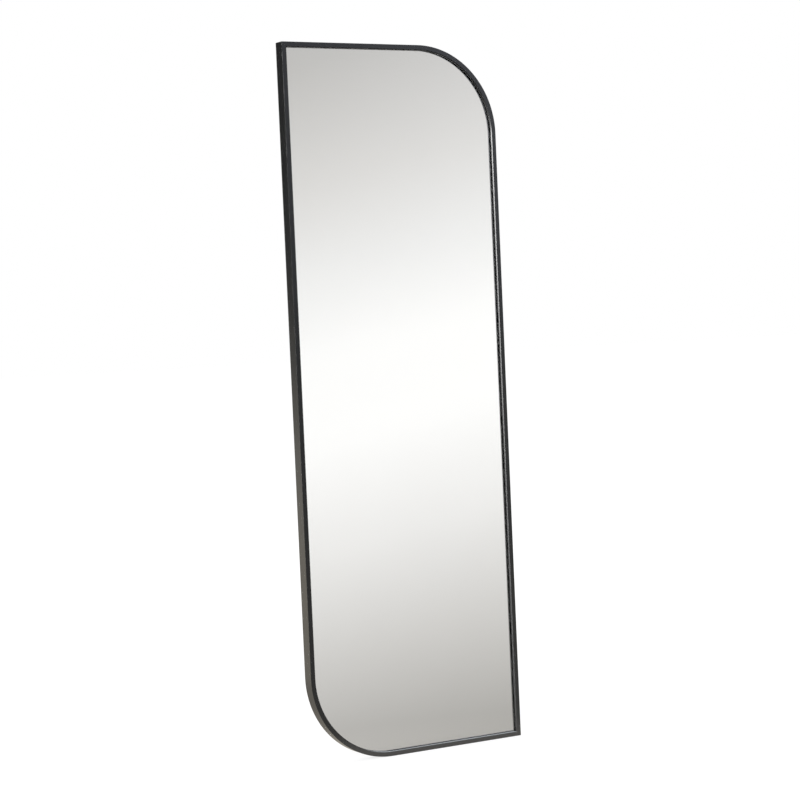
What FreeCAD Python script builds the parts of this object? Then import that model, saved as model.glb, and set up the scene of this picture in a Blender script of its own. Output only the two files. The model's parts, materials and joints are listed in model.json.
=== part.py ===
"""Full-length wall mirror in a slim black section frame.

Two bent rails of one extrusion close around a pack of glass, film, tape and backing board and
are locked at the two mitred corners by angle plates in the rails' rear channel. Two of the
corners, top right and bottom left, are large bends. Two D-ring hangers hold the mirror.

Frame: +Z up, the mirror faces -Y, and the wall plane is Y = 0. The origin is the middle of the
frame's rear edge. In a rail's section, u runs inward from the outer face and v runs back from
the front face.
"""
import FreeCAD
import Part
import math
import os
import Sketcher

SIZES = [
    ("frame_width", 560.0, "overall width"),
    ("frame_height", 1650.0, "overall height"),
    ("bend_radius", 205.0, "outer radius of the two bent corners"),
    ("face_width", 12.0, "width of the frame's front face"),
    ("wall", 1.5, "wall of the extrusion"),
    ("arris_radius", 0.8, "rounding of the outer front edge"),
    ("inner_chamfer", 1.5, "bevel of the inner front edge"),
    ("leg_width", 2.0, "thickness of the lip that holds the glass"),
    ("lip_depth", 5.0, "depth of the lip, from the front face"),
    ("gasket_thickness", 1.0, "gasket between lip and glass, compressed"),
    ("gasket_width", 3.0, "width of the gasket"),
    ("gasket_setback", 0.4, "gasket edge behind the lip's inner face"),
    ("glass_thickness", 4.0, "mirror glass"),
    ("glass_gap", 3.0, "gap between the glass edge and the outer wall"),
    ("film_thickness", 0.3, "safety film"),
    ("film_setback", 1.0, "film edge inside the glass edge"),
    ("tape_thickness", 1.0, "bonding tape"),
    ("tape_width", 20.0, "width of a tape strip"),
    ("tape_margin", 110.0, "tape end from the top and bottom edge"),
    ("tape_side", 100.0, "middle of the outer tape strips from the side edge"),
    ("board_thickness", 4.0, "backing board"),
    ("clip_height", 2.7, "space that the spring clips fill"),
    ("clip_play", 0.05, "free space over a clip's crown"),
    ("clip_sheet", 0.5, "spring steel of the clips"),
    ("clip_length", 52.0, "length of a clip along the rail"),
    ("clip_width", 16.0, "width of a clip"),
    ("clip_side_gap", 1.0, "gap between a clip and the outer wall"),
    ("clip_side_margin", 375.0, "outer clips of the side rails from the top and bottom edge"),
    ("clip_end_margin", 115.0, "clips of the top and bottom rails from the straight's ends"),
    ("channel_depth", 4.5, "clear depth of the rear channel"),
    ("slot_width", 5.0, "rear slot of the channel"),
    ("skirt_depth", 4.5, "outer wall behind the slot lips"),
    ("corner_leg", 48.0, "leg of the corner angle plates"),
    ("corner_play", 0.2, "side clearance of the hardware in the channel"),
    ("corner_plate_sheet", 2.0, "tapped corner plate"),
    ("corner_shim_sheet", 1.0, "corner shim"),
    ("corner_screw_first", 18.0, "first set screw from the corner"),
    ("corner_screw_second", 40.0, "second set screw from the corner"),
    ("screw_radius", 2.0, "tapped holes, M4"),
    ("screw_play", 0.1, "radial clearance of a screw in its hole"),
    ("set_screw_proud", 1.0, "set screw behind its plate"),
    ("hex_key", 2.0, "hexagon socket across flats"),
    ("hex_depth", 2.0, "depth of the socket"),
    ("block_length", 40.0, "setting and location blocks along the rail"),
    ("block_bend_margin", 50.0, "first setting block from the bend's end"),
    ("block_corner_margin", 75.0, "second setting block from the square corner"),
    ("location_margin", 80.0, "location blocks from the bends' ends"),
    ("hanger_drop", 345.0, "middle of a hanger below the top edge"),
    ("hanger_sheet", 1.5, "hanger plate"),
    ("strip_half_height", 22.0, "half height of the screwed strip"),
    ("strip_side_gap", 0.6, "strip edge from the outer wall"),
    ("strip_overhang", 1.0, "strip past the rail's inner edge"),
    ("hanger_screw_reach", 13.0, "hanger screws from the middle"),
    ("hanger_hole_play", 0.2, "radial clearance of the plate's holes"),
    ("arm_bottom", 12.0, "lower edge of the arm below the middle"),
    ("knuckle_rise", 10.0, "ring axis above the middle"),
    ("knuckle_width", 14.0, "width of the rolled knuckle"),
    ("tongue_height", 8.0, "tongue under the ring axis"),
    ("plate_corner", 2.0, "rounded corners of the hanger plate"),
    ("ring_inset", 27.0, "middle of the ring from the outer face"),
    ("ring_wire", 1.5, "radius of the ring's wire"),
    ("ring_play", 0.2, "radial clearance of the wire in the knuckle"),
    ("ring_half_width", 10.5, "half width of the ring, to the wire's middle"),
    ("ring_side", 9.0, "straight side of the ring"),
    ("ring_corner", 3.0, "bend beside the ring's straight bar"),
    ("ring_rest_gap", 0.3, "gap between the resting ring and the board"),
    ("nut_bar_sheet", 3.0, "nut bar in the channel"),
    ("nut_bar_half", 24.0, "half length of the nut bar"),
    ("head_radius", 3.7, "low cap head of the hanger screws"),
    ("head_height", 2.2, "height of the cap head"),
    ("screw_proud", 0.5, "hanger screw past the nut bar"),
    ("cut_margin", 2.0, "how far the mitre cuts run past the rail"),
]

TAPE_STRIPS = 4
CLIP_ROWS = (-1.0, -1.0 / 3.0, 1.0 / 3.0, 1.0)
WIRE_FLATS = 8
WIRE_PHASE = 0.5
SIDES = {"left": -1, "right": 1}
CORNERS = {"top_left": 1, "bottom_right": -1}
RAILS = {"upper_frame_rail": 0, "lower_frame_rail": 180}
TURN_TOP = 0
TURN_RIGHT = 90
TURN_BOTTOM = 180
TURN_LEFT = 270
ACROSS = FreeCAD.Vector(1, 0, 0)
TOWARD_WALL = FreeCAD.Vector(0, 1, 0)
OUT_OF_SKETCH = FreeCAD.Vector(0, 0, 1)
NEAR = 0.01


class Size:
    """A length with its value and the sheet expression that gives it."""

    def __init__(self, text, value):
        self.text = text
        self.value = value

    def joined(self, sign, other, value):
        return Size("(%s %s %s)" % (self.text, sign, other.text), value)

    def __add__(self, other):
        other = as_size(other)
        return self.joined("+", other, self.value + other.value)

    def __sub__(self, other):
        other = as_size(other)
        return self.joined("-", other, self.value - other.value)

    def __mul__(self, other):
        other = as_size(other)
        return self.joined("*", other, self.value * other.value)

    def __truediv__(self, other):
        other = as_size(other)
        return self.joined("/", other, self.value / other.value)

    def __neg__(self):
        return self * -1


def as_size(thing):
    if isinstance(thing, Size):
        return thing
    return Size("(%r)" % float(thing), float(thing))


doc = FreeCAD.newDocument("WallMirror")
sheet = doc.addObject("Spreadsheet::Sheet", "Sizes")
names = {}
for row, (alias, number, meaning) in enumerate(SIZES, start=1):
    sheet.set("A%d" % row, meaning)
    sheet.set("B%d" % row, str(number))
    sheet.setAlias("B%d" % row, alias)
    names[alias] = Size("Sizes.%s" % alias, number)
doc.recompute()


def size(alias):
    return names[alias]


ZERO = as_size(0)
HALF_WIDTH = size("frame_width") / 2
HALF_HEIGHT = size("frame_height") / 2

# The pack, from the front face back
GLASS_FRONT = size("lip_depth") + size("gasket_thickness")
GLASS_BACK = GLASS_FRONT + size("glass_thickness")
FILM_BACK = GLASS_BACK + size("film_thickness")
BOARD_FRONT = FILM_BACK + size("tape_thickness")
BOARD_BACK = BOARD_FRONT + size("board_thickness")
WEB_FRONT = BOARD_BACK + size("clip_height")
CHANNEL_FRONT = WEB_FRONT + size("wall")
CHANNEL_BACK = CHANNEL_FRONT + size("channel_depth")
SLOT_BACK = CHANNEL_BACK + size("wall")
DEPTH = SLOT_BACK + size("skirt_depth")

GLASS_INSET = size("wall") + size("glass_gap")
CHANNEL_OUTER = size("wall")
CHANNEL_INNER = size("face_width") - size("wall")
CHANNEL_MIDDLE = size("face_width") / 2
SCREW_BODY = size("screw_radius") - size("screw_play")
HANGER_LEVEL = HALF_HEIGHT - size("hanger_drop")
HANGER_BACK = SLOT_BACK + size("hanger_sheet")
KNUCKLE_BORE = size("ring_wire") + size("ring_play")
KNUCKLE_OUTER = KNUCKLE_BORE + size("hanger_sheet")
RING_AXIS = HANGER_BACK - KNUCKLE_OUTER
RING_LEVEL = HANGER_LEVEL + size("knuckle_rise")
RING_REACH = size("ring_side") + size("ring_half_width")


def depth_y(v):
    """Y of a place that lies v behind the front face."""
    return v - DEPTH


def new_body(label):
    body = doc.addObject("PartDesign::Body", label)
    body.Label = label
    return body


def plane_of(body, role):
    for feature in body.Origin.OriginFeatures:
        if feature.Role == role:
            return feature
    raise ValueError("no plane %s" % role)


def sketch_on(body, name, role, offset=None):
    """A sketch on one of the body's own planes, moved along the plane's normal by offset."""
    sketch = body.newObject("Sketcher::SketchObject", "%s_%s" % (body.Label, name))
    sketch.AttachmentSupport = [(plane_of(body, role), "")]
    sketch.MapMode = "FlatFace"
    if offset is not None:
        sketch.setExpression("AttachmentOffset.Base.z", offset.text)
    return sketch


def sketch_at_depth(body, name, v):
    """A sketch facing the front, in the plane v behind the front face."""
    return sketch_on(body, name, "XZ_Plane", -depth_y(v))


def bind(sketch, kind, places, length):
    number = sketch.addConstraint(Sketcher.Constraint(kind, *places, length.value))
    sketch.setExpression("Constraints[%d]" % number, length.text)


def pin(sketch, edge, end, place):
    """Ties one end of an edge to a place given from the sketch's origin."""
    along, up = place
    if along is ZERO:
        sketch.addConstraint(Sketcher.Constraint("PointOnObject", edge, end, -2))
    else:
        bind(sketch, "DistanceX", (-1, 1, edge, end), along)
    if up is ZERO:
        sketch.addConstraint(Sketcher.Constraint("PointOnObject", edge, end, -1))
    else:
        bind(sketch, "DistanceY", (-1, 1, edge, end), up)


def point(place):
    return FreeCAD.Vector(place[0].value, place[1].value, 0)


def polygon(sketch, places):
    """A closed outline of straight lines through places."""
    first = sketch.GeometryCount
    count = len(places)
    for k in range(count):
        sketch.addGeometry(Part.LineSegment(point(places[k]), point(places[(k + 1) % count])))
    for k in range(count):
        after = first + (k + 1) % count
        sketch.addConstraint(Sketcher.Constraint("Coincident", first + k, 2, after, 1))
    for k in range(count):
        pin(sketch, first + k, 1, places[k])


def circle(sketch, place, radius):
    edge = sketch.addGeometry(Part.Circle(point(place), OUT_OF_SKETCH, radius.value))
    pin(sketch, edge, 3, place)
    bind(sketch, "Radius", (edge,), radius)


def hexagon(sketch, across_flats):
    """A regular hexagon about the sketch's origin, with two flats level."""
    half_side = across_flats / (2 * math.sqrt(3))
    flat = across_flats / 2
    polygon(
        sketch,
        [
            (half_side * 2, ZERO),
            (half_side, flat),
            (-half_side, flat),
            (-half_side * 2, ZERO),
            (-half_side, -flat),
            (half_side, -flat),
        ],
    )


def arc_by(middle, radius, start, end):
    """An arc about middle between two angles, given in quarter turns."""
    quarter = math.pi / 2
    ring = Part.Circle(middle, OUT_OF_SKETCH, radius)
    return Part.ArcOfCircle(ring, start * quarter, end * quarter)


def leaf(sketch, inset):
    """The mirror's outline, moved inward: two opposite corners square and two on a bend."""
    x = HALF_WIDTH - inset
    z = HALF_HEIGHT - inset
    bend = size("bend_radius") - inset
    far_x = x.value - bend.value
    far_z = z.value - bend.value
    vec = FreeCAD.Vector
    top = sketch.addGeometry(Part.LineSegment(vec(-x.value, z.value), vec(far_x, z.value)))
    bend_top = sketch.addGeometry(arc_by(vec(far_x, far_z), bend.value, 0, 1))
    right = sketch.addGeometry(Part.LineSegment(vec(x.value, far_z), vec(x.value, -z.value)))
    bottom = sketch.addGeometry(Part.LineSegment(vec(x.value, -z.value), vec(-far_x, -z.value)))
    bend_low = sketch.addGeometry(arc_by(vec(-far_x, -far_z), bend.value, 2, 3))
    left = sketch.addGeometry(Part.LineSegment(vec(-x.value, -far_z), vec(-x.value, z.value)))
    for edge in (top, bottom):
        sketch.addConstraint(Sketcher.Constraint("Horizontal", edge))
    for edge in (left, right):
        sketch.addConstraint(Sketcher.Constraint("Vertical", edge))
    sketch.addConstraint(Sketcher.Constraint("Tangent", top, 2, bend_top, 2))
    sketch.addConstraint(Sketcher.Constraint("Tangent", bend_top, 1, right, 1))
    sketch.addConstraint(Sketcher.Constraint("Coincident", right, 2, bottom, 1))
    sketch.addConstraint(Sketcher.Constraint("Tangent", bottom, 2, bend_low, 2))
    sketch.addConstraint(Sketcher.Constraint("Tangent", bend_low, 1, left, 1))
    sketch.addConstraint(Sketcher.Constraint("Coincident", left, 2, top, 1))
    pin(sketch, top, 1, (-x, z))
    pin(sketch, bottom, 1, (x, -z))
    bind(sketch, "Radius", (bend_top,), bend)
    bind(sketch, "Radius", (bend_low,), bend)


def pad(body, sketch, length, name="pad", reverse=False):
    feature = body.newObject("PartDesign::Pad", "%s_%s" % (body.Label, name))
    feature.Profile = sketch
    feature.setExpression("Length", length.text)
    feature.Reversed = reverse
    return feature


def pocket(body, sketch, length, name="pocket", reverse=False):
    """Cuts the sketch out of the body and checks that something was cut."""
    doc.recompute()
    before = body.Shape.Volume
    feature = body.newObject("PartDesign::Pocket", "%s_%s" % (body.Label, name))
    feature.Profile = sketch
    feature.setExpression("Length", length.text)
    feature.Reversed = reverse
    doc.recompute()
    if not body.Shape.Volume < before:
        raise ValueError("%s cuts nothing" % feature.Name)
    return feature


def round_edges(body, edges, alias):
    """Rounds the named edges of the body's last feature."""
    base = body.Tip
    feature = body.newObject("PartDesign::Fillet", "%s_rounding" % body.Label)
    feature.Base = (base, edges)
    feature.setExpression("Radius", size(alias).text)
    doc.recompute()


def slab(label, outlines, front, back):
    """A flat piece between two depths, cut to the mirror's outline at each inset of outlines."""
    body = new_body(label)
    sketch = sketch_at_depth(body, "outline", back)
    for inset in outlines:
        leaf(sketch, inset)
    pad(body, sketch, back - front)
    return body


def placed(label, source, place, turn):
    """A copy of source at place, turned about the Y axis."""
    link = doc.addObject("App::Link", label)
    link.LinkedObject = source
    link.Placement = FreeCAD.Placement(FreeCAD.Vector(), FreeCAD.Rotation(TOWARD_WALL, turn))
    for axis, length in zip("xyz", place):
        if length is not ZERO:
            link.setExpression("Placement.Base.%s" % axis, length.text)
    return link


def group(label, links):
    pieces = doc.addObject("Part::Compound", label)
    pieces.Label = label
    pieces.Links = links
    return pieces


def rail_section(sketch):
    """The extrusion's section at the start of the rail, in Y and Z."""
    wall = size("wall")
    face = size("face_width")
    bevel = size("inner_chamfer")
    leg = face - size("leg_width")
    slot_near = CHANNEL_MIDDLE - size("slot_width") / 2
    slot_far = CHANNEL_MIDDLE + size("slot_width") / 2
    lip = size("lip_depth")
    outline = [
        (ZERO, None),
        (wall, None),
        (wall, SLOT_BACK),
        (slot_near, SLOT_BACK),
        (slot_near, CHANNEL_BACK),
        (wall, CHANNEL_BACK),
        (wall, CHANNEL_FRONT),
        (CHANNEL_INNER, CHANNEL_FRONT),
        (CHANNEL_INNER, CHANNEL_BACK),
        (slot_far, CHANNEL_BACK),
        (slot_far, SLOT_BACK),
        (face, SLOT_BACK),
        (face, WEB_FRONT),
        (wall, WEB_FRONT),
        (wall, wall),
        (leg, wall),
        (leg, lip),
        (face, lip),
        (face, bevel),
        (face - bevel, ZERO),
        (ZERO, ZERO),
    ]
    places = []
    for u, v in outline:
        y = ZERO if v is None else depth_y(v)
        places.append((y, HALF_HEIGHT - u))
    polygon(sketch, places)


def rail_path(sketch):
    """Along the outer edge: the top, the bend and the right side."""
    bend = size("bend_radius")
    far_x = HALF_WIDTH.value - bend.value
    far_z = HALF_HEIGHT.value - bend.value
    x = HALF_WIDTH.value
    z = HALF_HEIGHT.value
    vec = FreeCAD.Vector
    top = sketch.addGeometry(Part.LineSegment(vec(-x, z), vec(far_x, z)))
    turn = sketch.addGeometry(arc_by(vec(far_x, far_z), bend.value, 0, 1))
    side = sketch.addGeometry(Part.LineSegment(vec(x, far_z), vec(x, -z)))
    sketch.addConstraint(Sketcher.Constraint("Horizontal", top))
    sketch.addConstraint(Sketcher.Constraint("Vertical", side))
    sketch.addConstraint(Sketcher.Constraint("Tangent", top, 2, turn, 2))
    sketch.addConstraint(Sketcher.Constraint("Tangent", turn, 1, side, 1))
    pin(sketch, top, 1, (-HALF_WIDTH, HALF_HEIGHT))
    pin(sketch, side, 2, (HALF_WIDTH, -HALF_HEIGHT))
    bind(sketch, "Radius", (turn,), bend)


def mitre_cut(sketch, corner, up, down):
    """The waste of one mitred end, to the lower left of a 45 degree line through the corner."""
    start = (corner[0] - up, corner[1] + up)
    end = (corner[0] + down, corner[1] - down)
    polygon(sketch, [start, (start[0], end[1]), end])


def outer_front_edges(shape, path):
    """Names of the edges where the rail's front face meets its outer face."""
    front = depth_y(ZERO).value
    found = []
    for k, edge in enumerate(shape.Edges, start=1):
        middle = edge.valueAt((edge.FirstParameter + edge.LastParameter) / 2)
        below = Part.Vertex(middle.x, 0, middle.z)
        in_front = abs(edge.BoundBox.YMin - front) < NEAR and abs(edge.BoundBox.YMax - front) < NEAR
        if in_front and path.distToShape(below)[0] < NEAR:
            found.append("Edge%d" % k)
    return found


def build_rail(label, turn):
    """One bent rail. The lower rail is the upper one turned half round."""
    body = new_body(label)
    path = sketch_on(body, "path", "XZ_Plane")
    rail_path(path)
    section = sketch_on(body, "section", "YZ_Plane", -HALF_WIDTH)
    rail_section(section)
    doc.recompute()
    sweep = body.newObject("PartDesign::AdditivePipe", "%s_sweep" % label)
    sweep.Profile = section
    sweep.Spine = (path, ["Edge1", "Edge2", "Edge3"])
    doc.recompute()
    round_edges(body, outer_front_edges(body.Shape, path.Shape), "arris_radius")
    margin = size("cut_margin")
    across_face = size("face_width") + margin
    ends = sketch_on(body, "mitres", "XZ_Plane", -margin)
    mitre_cut(ends, (-HALF_WIDTH, HALF_HEIGHT), margin, across_face)
    mitre_cut(ends, (HALF_WIDTH, -HALF_HEIGHT), across_face, margin)
    pocket(body, ends, DEPTH + margin * 2, "mitre", reverse=True)
    body.Placement = FreeCAD.Placement(FreeCAD.Vector(), FreeCAD.Rotation(TOWARD_WALL, turn))
    return body


def build_tape():
    """Strips of bonding tape, side by side."""
    body = new_body("bonding_tape")
    sketch = sketch_at_depth(body, "strip", BOARD_FRONT)
    half_span = HALF_WIDTH - size("tape_side")
    top = HALF_HEIGHT - size("tape_margin")
    near = -half_span - size("tape_width") / 2
    far = -half_span + size("tape_width") / 2
    polygon(sketch, [(near, -top), (far, -top), (far, top), (near, top)])
    strip = pad(body, sketch, size("tape_thickness"))
    doc.recompute()
    rows = body.newObject("PartDesign::LinearPattern", "bonding_tape_rows")
    rows.Originals = [strip]
    rows.Direction = (sketch, ["H_Axis"])
    rows.setExpression("Length", (half_span * 2).text)
    rows.Occurrences = TAPE_STRIPS
    body.Tip = rows
    return body


def build_clips():
    """Bowed spring strips that stand on the board and press against the rails' web."""
    body = new_body("spring_clip")
    near = -(size("wall") + size("clip_side_gap"))
    sketch = sketch_on(body, "bow", "XY_Plane", near)
    half = size("clip_length") / 2
    sheet_steel = size("clip_sheet")
    low = depth_y(BOARD_BACK)
    crown = depth_y(WEB_FRONT) - size("clip_play")
    bow_through(sketch, half, low, crown - sheet_steel, sheet_steel)
    pad(body, sketch, size("clip_width"), reverse=True)
    spots = []
    for row in CLIP_ROWS:
        level = (HALF_HEIGHT - size("clip_side_margin")) * row
        spots.append(((-HALF_WIDTH, ZERO, level), TURN_LEFT))
        spots.append(((HALF_WIDTH, ZERO, level), TURN_RIGHT))
    by_corner = HALF_WIDTH - size("clip_end_margin")
    by_bend = HALF_WIDTH - size("bend_radius") - size("clip_end_margin")
    for along in (-by_corner, by_bend):
        spots.append(((along, ZERO, HALF_HEIGHT), TURN_TOP))
        spots.append(((-along, ZERO, -HALF_HEIGHT), TURN_BOTTOM))
    links = []
    for k, (place, turn) in enumerate(spots):
        links.append(placed("spring_clip_%d" % k, body, place, turn))
    return group("spring_clips", links)


def bow_through(sketch, half, low, top, thickness):
    """A strip bent to an arc: its ends stand at low and its inner face rises to top."""
    rise = top - low
    radius = (half * half + rise * rise) / (rise * 2)
    middle = top.value - radius.value
    outer_radius = radius + thickness
    outer_end = middle + math.sqrt(outer_radius.value**2 - half.value**2)
    vec = FreeCAD.Vector
    inner_right = vec(half.value, low.value)
    inner_left = vec(-half.value, low.value)
    outer_right = vec(half.value, outer_end)
    outer_left = vec(-half.value, outer_end)
    inner = sketch.addGeometry(Part.Arc(inner_right, vec(0, top.value), inner_left))
    crown = vec(0, top.value + thickness.value)
    outer = sketch.addGeometry(Part.Arc(outer_right, crown, outer_left))
    right = sketch.addGeometry(Part.LineSegment(inner_right, outer_right))
    left = sketch.addGeometry(Part.LineSegment(inner_left, outer_left))
    for edge, end in ((right, 1), (left, 2)):
        sketch.addConstraint(Sketcher.Constraint("Coincident", edge, 1, inner, end))
        sketch.addConstraint(Sketcher.Constraint("Coincident", edge, 2, outer, end))
        sketch.addConstraint(Sketcher.Constraint("Vertical", edge))
    sketch.addConstraint(Sketcher.Constraint("Coincident", inner, 3, outer, 3))
    pin(sketch, inner, 1, (half, low))
    pin(sketch, inner, 2, (-half, low))
    bind(sketch, "Radius", (inner,), radius)
    bind(sketch, "Radius", (outer,), outer_radius)


def build_block():
    """A rubber block that fills the gap between the pack's edge and a rail's outer wall."""
    body = new_body("edge_block")
    sketch = sketch_at_depth(body, "outline", BOARD_BACK)
    half = size("block_length") / 2
    near = -size("wall")
    far = -GLASS_INSET
    polygon(sketch, [(-half, far), (half, far), (half, near), (-half, near)])
    pad(body, sketch, BOARD_BACK - GLASS_FRONT)
    return body


def build_setting_blocks(block):
    """The two blocks that carry the glass and board on the bottom rail."""
    by_bend = size("bend_radius") - HALF_WIDTH + size("block_bend_margin")
    by_corner = HALF_WIDTH - size("block_corner_margin")
    links = []
    for k, along in enumerate((by_bend, by_corner)):
        links.append(placed("setting_%d" % k, block, (along, ZERO, -HALF_HEIGHT), TURN_BOTTOM))
    return group("setting_blocks", links)


def build_location_blocks(block):
    """Blocks that centre the glass between the side rails."""
    links = []
    for sign in (-1, 1):
        level = (HALF_HEIGHT - size("bend_radius") - size("location_margin")) * sign
        left = (-HALF_WIDTH, ZERO, level)
        right = (HALF_WIDTH, ZERO, level)
        links.append(placed("location_left_%d" % len(links), block, left, TURN_LEFT))
        links.append(placed("location_right_%d" % len(links), block, right, TURN_RIGHT))
    return group("location_blocks", links)


def corner_angle(sketch, sign):
    """An L that fits the channel round a mitred corner."""
    near = CHANNEL_OUTER + size("corner_play")
    far = CHANNEL_INNER - size("corner_play")
    leg = size("corner_leg")
    steps = [(near, near), (leg, near), (leg, far), (far, far), (far, leg), (near, leg)]
    places = []
    for along, down in steps:
        places.append(((along - HALF_WIDTH) * sign, (HALF_HEIGHT - down) * sign))
    polygon(sketch, places)


def corner_screw_places(sign):
    """Middles of the four set screws of a corner, two on each leg."""
    places = []
    for name in ("corner_screw_first", "corner_screw_second"):
        away = size(name)
        places.append(((away - HALF_WIDTH) * sign, (HALF_HEIGHT - CHANNEL_MIDDLE) * sign))
        places.append(((CHANNEL_MIDDLE - HALF_WIDTH) * sign, (HALF_HEIGHT - away) * sign))
    return places


def build_set_screw():
    """A headless screw with a hexagon socket, standing on the corner's shim."""
    body = new_body("set_screw")
    back = CHANNEL_BACK + size("set_screw_proud")
    front = CHANNEL_FRONT + size("corner_shim_sheet")
    outline = sketch_at_depth(body, "outline", back)
    circle(outline, (ZERO, ZERO), SCREW_BODY)
    pad(body, outline, back - front)
    socket = sketch_at_depth(body, "socket", back)
    hexagon(socket, size("hex_key"))
    pocket(body, socket, size("hex_depth"), reverse=True)
    return body


def build_corner(name, sign, screw):
    """Angle plate, shim and set screws of one mitred corner."""
    plate = new_body("corner_plate_%s" % name)
    outline = sketch_at_depth(plate, "outline", CHANNEL_BACK)
    corner_angle(outline, sign)
    for place in corner_screw_places(sign):
        circle(outline, place, size("screw_radius"))
    pad(plate, outline, size("corner_plate_sheet"))
    shim = new_body("corner_shim_%s" % name)
    flat = sketch_at_depth(shim, "outline", CHANNEL_FRONT + size("corner_shim_sheet"))
    corner_angle(flat, sign)
    pad(shim, flat, size("corner_shim_sheet"))
    links = []
    for k, (x, z) in enumerate(corner_screw_places(sign)):
        links.append(placed("set_screw_%s_%d" % (name, k), screw, (x, ZERO, z), 0))
    return [plate, shim, group("corner_screws_%s" % name, links)]


def side_x(side, u):
    """X of a place that lies u inward from the outer face of a side rail."""
    return (HALF_WIDTH - u) * side


def build_hanger_plate(name, side):
    """A plate screwed over the channel's slot, with an arm that ends in a rolled knuckle."""
    body = new_body("hanger_plate_%s" % name)
    near = size("wall") + size("strip_side_gap")
    far = size("face_width") + size("strip_overhang")
    tongue_near = size("ring_inset") - size("knuckle_width") / 2
    tongue_far = size("ring_inset") + size("knuckle_width") / 2
    half = size("strip_half_height")
    bottom = HANGER_LEVEL - size("arm_bottom")
    shoulder = RING_LEVEL - size("tongue_height")
    steps = [
        (near, HANGER_LEVEL - half),
        (far, HANGER_LEVEL - half),
        (far, bottom),
        (tongue_far, bottom),
        (tongue_far, RING_LEVEL),
        (tongue_near, RING_LEVEL),
        (tongue_near, shoulder),
        (far, shoulder),
        (far, HANGER_LEVEL + half),
        (near, HANGER_LEVEL + half),
    ]
    outline = sketch_at_depth(body, "outline", HANGER_BACK)
    polygon(outline, [(side_x(side, u), level) for u, level in steps])
    for place in hanger_screw_places(side):
        circle(outline, place, size("screw_radius") + size("hanger_hole_play"))
    pad(body, outline, size("hanger_sheet"))
    doc.recompute()
    free_corners = [steps[k] for k in (0, 1, 3, 8, 9)]
    round_edges(body, upright_edges(body.Shape, free_corners, side), "plate_corner")
    knuckle = sketch_on(body, "knuckle", "YZ_Plane", knuckle_start(side))
    middle = (depth_y(RING_AXIS), RING_LEVEL)
    circle(knuckle, middle, KNUCKLE_OUTER)
    circle(knuckle, middle, KNUCKLE_BORE)
    pad(body, knuckle, size("knuckle_width"), "roll")
    return body


def knuckle_start(side):
    """X of the knuckle's end with the lower X."""
    middle = side_x(side, size("ring_inset"))
    return middle - size("knuckle_width") / 2


def upright_edges(shape, corners, side):
    """Names of the edges that run along Y at the given corners of the hanger plate."""
    found = []
    for k, edge in enumerate(shape.Edges, start=1):
        ends = edge.Vertexes
        if len(ends) != 2:
            continue
        for u, level in corners:
            spot = FreeCAD.Vector(side_x(side, u).value, 0, level.value)
            flat_ends = [FreeCAD.Vector(end.X, 0, end.Z) for end in ends]
            if all(end.distanceToPoint(spot) < NEAR for end in flat_ends):
                found.append("Edge%d" % k)
    return found


def hanger_screw_places(side):
    places = []
    for sign in (-1, 1):
        level = HANGER_LEVEL + size("hanger_screw_reach") * sign
        places.append((side_x(side, CHANNEL_MIDDLE), level))
    return places


def build_nut_bar(name, side):
    """A tapped bar in the channel that clamps the slot lips against the hanger plate."""
    body = new_body("hanger_nut_bar_%s" % name)
    outline = sketch_at_depth(body, "outline", CHANNEL_BACK)
    near = side_x(side, CHANNEL_OUTER + size("corner_play"))
    far = side_x(side, CHANNEL_INNER - size("corner_play"))
    low = HANGER_LEVEL - size("nut_bar_half")
    high = HANGER_LEVEL + size("nut_bar_half")
    polygon(outline, [(near, low), (far, low), (far, high), (near, high)])
    for place in hanger_screw_places(side):
        circle(outline, place, size("screw_radius"))
    pad(body, outline, size("nut_bar_sheet"))
    return body


def build_hanger_screw():
    """A low cap-head screw: head on the hanger plate, tip past the nut bar."""
    body = new_body("hanger_screw")
    back = HANGER_BACK + size("head_height")
    tip = CHANNEL_BACK - size("nut_bar_sheet") - size("screw_proud")
    shank = sketch_at_depth(body, "shank", HANGER_BACK)
    circle(shank, (ZERO, ZERO), SCREW_BODY)
    pad(body, shank, HANGER_BACK - tip, "shank_pad")
    head = sketch_at_depth(body, "head", back)
    circle(head, (ZERO, ZERO), size("head_radius"))
    pad(body, head, size("head_height"), "head_pad")
    socket = sketch_at_depth(body, "socket", back)
    hexagon(socket, size("hex_key"))
    pocket(body, socket, size("hex_depth"), reverse=True)
    return body


def wire_corners():
    """The wire's round section, drawn with flats so that its bends stay light.

    The phase keeps every corner off the sketch's axes.
    """
    places = []
    for k in range(WIRE_FLATS):
        angle = 2 * math.pi * (k + WIRE_PHASE) / WIRE_FLATS
        places.append((size("ring_wire") * math.cos(angle), size("ring_wire") * math.sin(angle)))
    return places


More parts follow.
